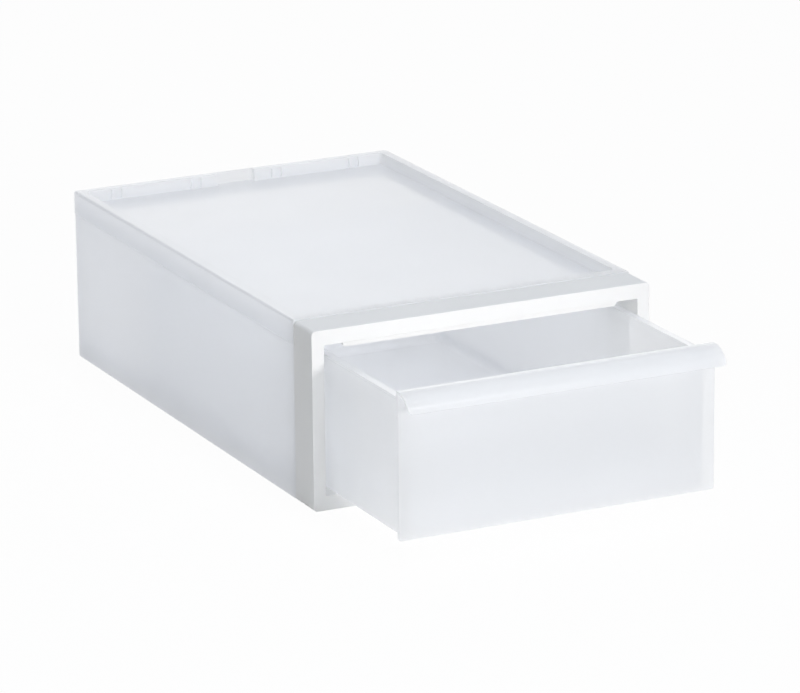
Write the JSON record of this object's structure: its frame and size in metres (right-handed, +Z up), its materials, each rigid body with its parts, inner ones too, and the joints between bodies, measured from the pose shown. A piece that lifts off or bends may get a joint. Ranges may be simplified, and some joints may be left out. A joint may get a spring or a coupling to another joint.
{
  "type": "stackable drawer box",
  "caption": "Low stackable storage box: a snapped-together case with a recessed top and an opaque front frame, and a translucent tray drawer with a curved handle lip.",
  "frame": {"origin": "centre of the case's footprint, on the surface that the case stands on", "axes": "+Z up; -Y is the front, where the drawer opens; +X is to the right of someone who faces the front"},
  "size_m": [0.25, 0.5223, 0.124],
  "materials": {
    "frosted_panel": "frosted translucent polypropylene, satin",
    "white_frame": "opaque white polypropylene, satin",
    "frosted_drawer": "frosted translucent polypropylene, satin"
  },
  "bodies": {
    "case": {"top_panel": "frosted_panel", "base_panel": "frosted_panel", "left_side_panel": "frosted_panel", "right_side_panel": "frosted_panel", "back_panel": "frosted_panel", "front_frame": "white_frame"},
    "drawer": {"drawer": "frosted_drawer"}
  },
  "joints": [
    {"name": "drawer_slide", "type": "slide", "parent": "case", "child": "drawer", "axis": [0, -1, 0], "range_m": [-0.106, 0.222]}
  ]
}
